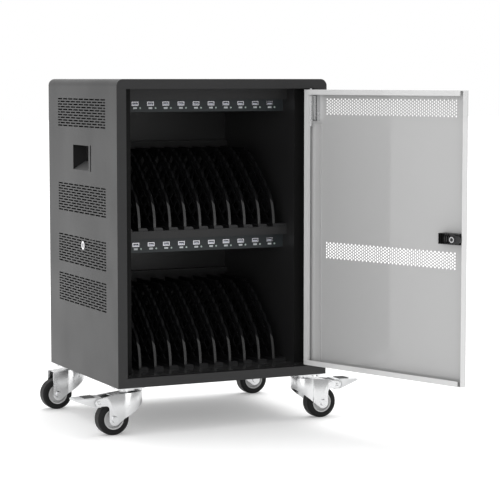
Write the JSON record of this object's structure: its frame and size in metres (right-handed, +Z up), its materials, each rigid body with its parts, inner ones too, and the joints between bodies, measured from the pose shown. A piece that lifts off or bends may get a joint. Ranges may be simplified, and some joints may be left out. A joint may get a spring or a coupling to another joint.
{
  "type": "laptop charging cart",
  "caption": "Steel cabinet on swivel casters that stores laptops upright in divided bays and charges them from USB hubs, with vented sides and a perforated, locking swing door.",
  "frame": {"origin": "on the floor under the middle of the cabinet", "axes": "+Z up, the open front faces -Y, +X to the right seen from the front"},
  "size_m": [0.7478, 0.9013, 0.81],
  "materials": {
    "coat": "satin",
    "inner_coat": "satin",
    "door_coat": "semi-gloss",
    "black_plastic": "matte",
    "zinc": "bright zinc",
    "hub_plastic": "matte",
    "tyre": "matte",
    "light_lens": "gloss"
  },
  "bodies": {
    "cabinet": {"left_side_panel": "coat", "right_side_panel": "coat", "top_panel": "coat", "back_panel": "coat", "base_pan": "coat", "top_rail": "coat", "bottom_rail": "coat", "left_stile": "coat", "right_stile": "coat", "left_handle_cup": "coat", "right_handle_cup": "coat", "back_screws": "coat", "left_inner_wall": "inner_coat", "right_inner_wall": "inner_coat", "floor_deck": "inner_coat", "mid_shelf": "inner_coat", "header_panel": "inner_coat", "upper_usb_hub": "inner_coat", "lower_usb_hub": "inner_coat", "stop_bars": "inner_coat", "upper_divider_rack": "black_plastic", "lower_divider_rack": "black_plastic", "upper_dividers": "black_plastic", "lower_dividers": "black_plastic", "usb_ports": "zinc", "port_lights": "light_lens", "side_lock_barrel": "zinc", "power_supply": "zinc", "power_inlet": "black_plastic", "caster_bolts": "zinc", "caster_plates": "zinc"},
    "door": {"door_skin": "door_coat", "door_stiffener": "door_coat", "upper_hinge_bracket": "zinc", "lower_hinge_pin": "zinc", "latch_body": "black_plastic"},
    "upper_pin": {"upper_hinge_pin": "zinc"},
    "latch": {"latch_shaft": "zinc", "latch_lever": "black_plastic", "latch_cam": "zinc"},
    "side_lock": {"side_lock_plug": "zinc"},
    "switch": {"power_switch": "black_plastic"},
    "front_left_swivel": {"front_left_fork": "zinc", "front_left_axle": "zinc"},
    "front_left_wheel": {"front_left_hub": "hub_plastic", "front_left_tyre": "tyre"},
    "front_right_swivel": {"front_right_fork": "zinc", "front_right_axle": "zinc"},
    "front_right_wheel": {"front_right_hub": "hub_plastic", "front_right_tyre": "tyre"},
    "rear_left_swivel": {"rear_left_fork": "zinc", "rear_left_axle": "zinc"},
    "rear_left_wheel": {"rear_left_hub": "hub_plastic", "rear_left_tyre": "tyre"},
    "rear_right_swivel": {"rear_right_fork": "zinc", "rear_right_axle": "zinc"},
    "rear_right_wheel": {"rear_right_hub": "hub_plastic", "rear_right_tyre": "tyre"},
    "front_left_brake": {"front_left_pedal": "zinc"},
    "front_right_brake": {"front_right_pedal": "zinc"}
  },
  "joints": [
    {"name": "door_hinge", "type": "hinge", "parent": "cabinet", "child": "door", "pos_m": [0.226, -0.2225, 0.46], "axis": [0, 0, 1], "range_deg": [-109.5, 25.5]},
    {"name": "upper_pin_slide", "type": "slide", "parent": "door", "child": "upper_pin", "axis": [0, 0, 1], "range_m": [-0.009, 0], "stiffness_N_per_m": 300, "springref_m": 0.01},
    {"name": "latch_turn", "type": "hinge", "parent": "door", "child": "latch", "pos_m": [0.3705, -0.64553, 0.46], "axis": [-0.9426, -0.3338, 0], "range_deg": [-180, 0]},
    {"name": "side_lock_turn", "type": "hinge", "parent": "cabinet", "child": "side_lock", "pos_m": [-0.265, -0.01, 0.42], "axis": [1, 0, 0], "range_deg": [0, 90]},
    {"name": "switch_rock", "type": "hinge", "parent": "cabinet", "child": "switch", "pos_m": [0.237, 0.226, 0.1965], "axis": [1, 0, 0], "range_deg": [-12, 0]},
    {"name": "front_left_swivel_turn", "type": "hinge", "parent": "cabinet", "child": "front_left_swivel", "pos_m": [-0.229, -0.1895, 0.1], "axis": [0, 0, 1], "continuous": true},
    {"name": "front_left_wheel_roll", "type": "hinge", "parent": "front_left_swivel", "child": "front_left_wheel", "pos_m": [-0.267, -0.1895, 0.0375], "axis": [0, 1, 0], "continuous": true},
    {"name": "front_right_swivel_turn", "type": "hinge", "parent": "cabinet", "child": "front_right_swivel", "pos_m": [0.229, -0.1895, 0.1], "axis": [0, 0, 1], "continuous": true},
    {"name": "front_right_wheel_roll", "type": "hinge", "parent": "front_right_swivel", "child": "front_right_wheel", "pos_m": [0.267, -0.1895, 0.0375], "axis": [0, 1, 0], "continuous": true},
    {"name": "rear_left_swivel_turn", "type": "hinge", "parent": "cabinet", "child": "rear_left_swivel", "pos_m": [-0.229, 0.1895, 0.1], "axis": [0, 0, 1], "continuous": true},
    {"name": "rear_left_wheel_roll", "type": "hinge", "parent": "rear_left_swivel", "child": "rear_left_wheel", "pos_m": [-0.267, 0.1895, 0.0375], "axis": [0, 1, 0], "continuous": true},
    {"name": "rear_right_swivel_turn", "type": "hinge", "parent": "cabinet", "child": "rear_right_swivel", "pos_m": [0.229, 0.1895, 0.1], "axis": [0, 0, 1], "continuous": true},
    {"name": "rear_right_wheel_roll", "type": "hinge", "parent": "rear_right_swivel", "child": "rear_right_wheel", "pos_m": [0.267, 0.1895, 0.0375], "axis": [0, 1, 0], "continuous": true},
    {"name": "front_left_brake_press", "type": "hinge", "parent": "front_left_swivel", "child": "front_left_brake", "pos_m": [-0.3055, -0.1895, 0.0795], "axis": [0, -1, 0], "range_deg": [0, 14]},
    {"name": "front_right_brake_press", "type": "hinge", "parent": "front_right_swivel", "child": "front_right_brake", "pos_m": [0.3055, -0.1895, 0.0795], "axis": [0, 1, 0], "range_deg": [0, 14]}
  ]
}
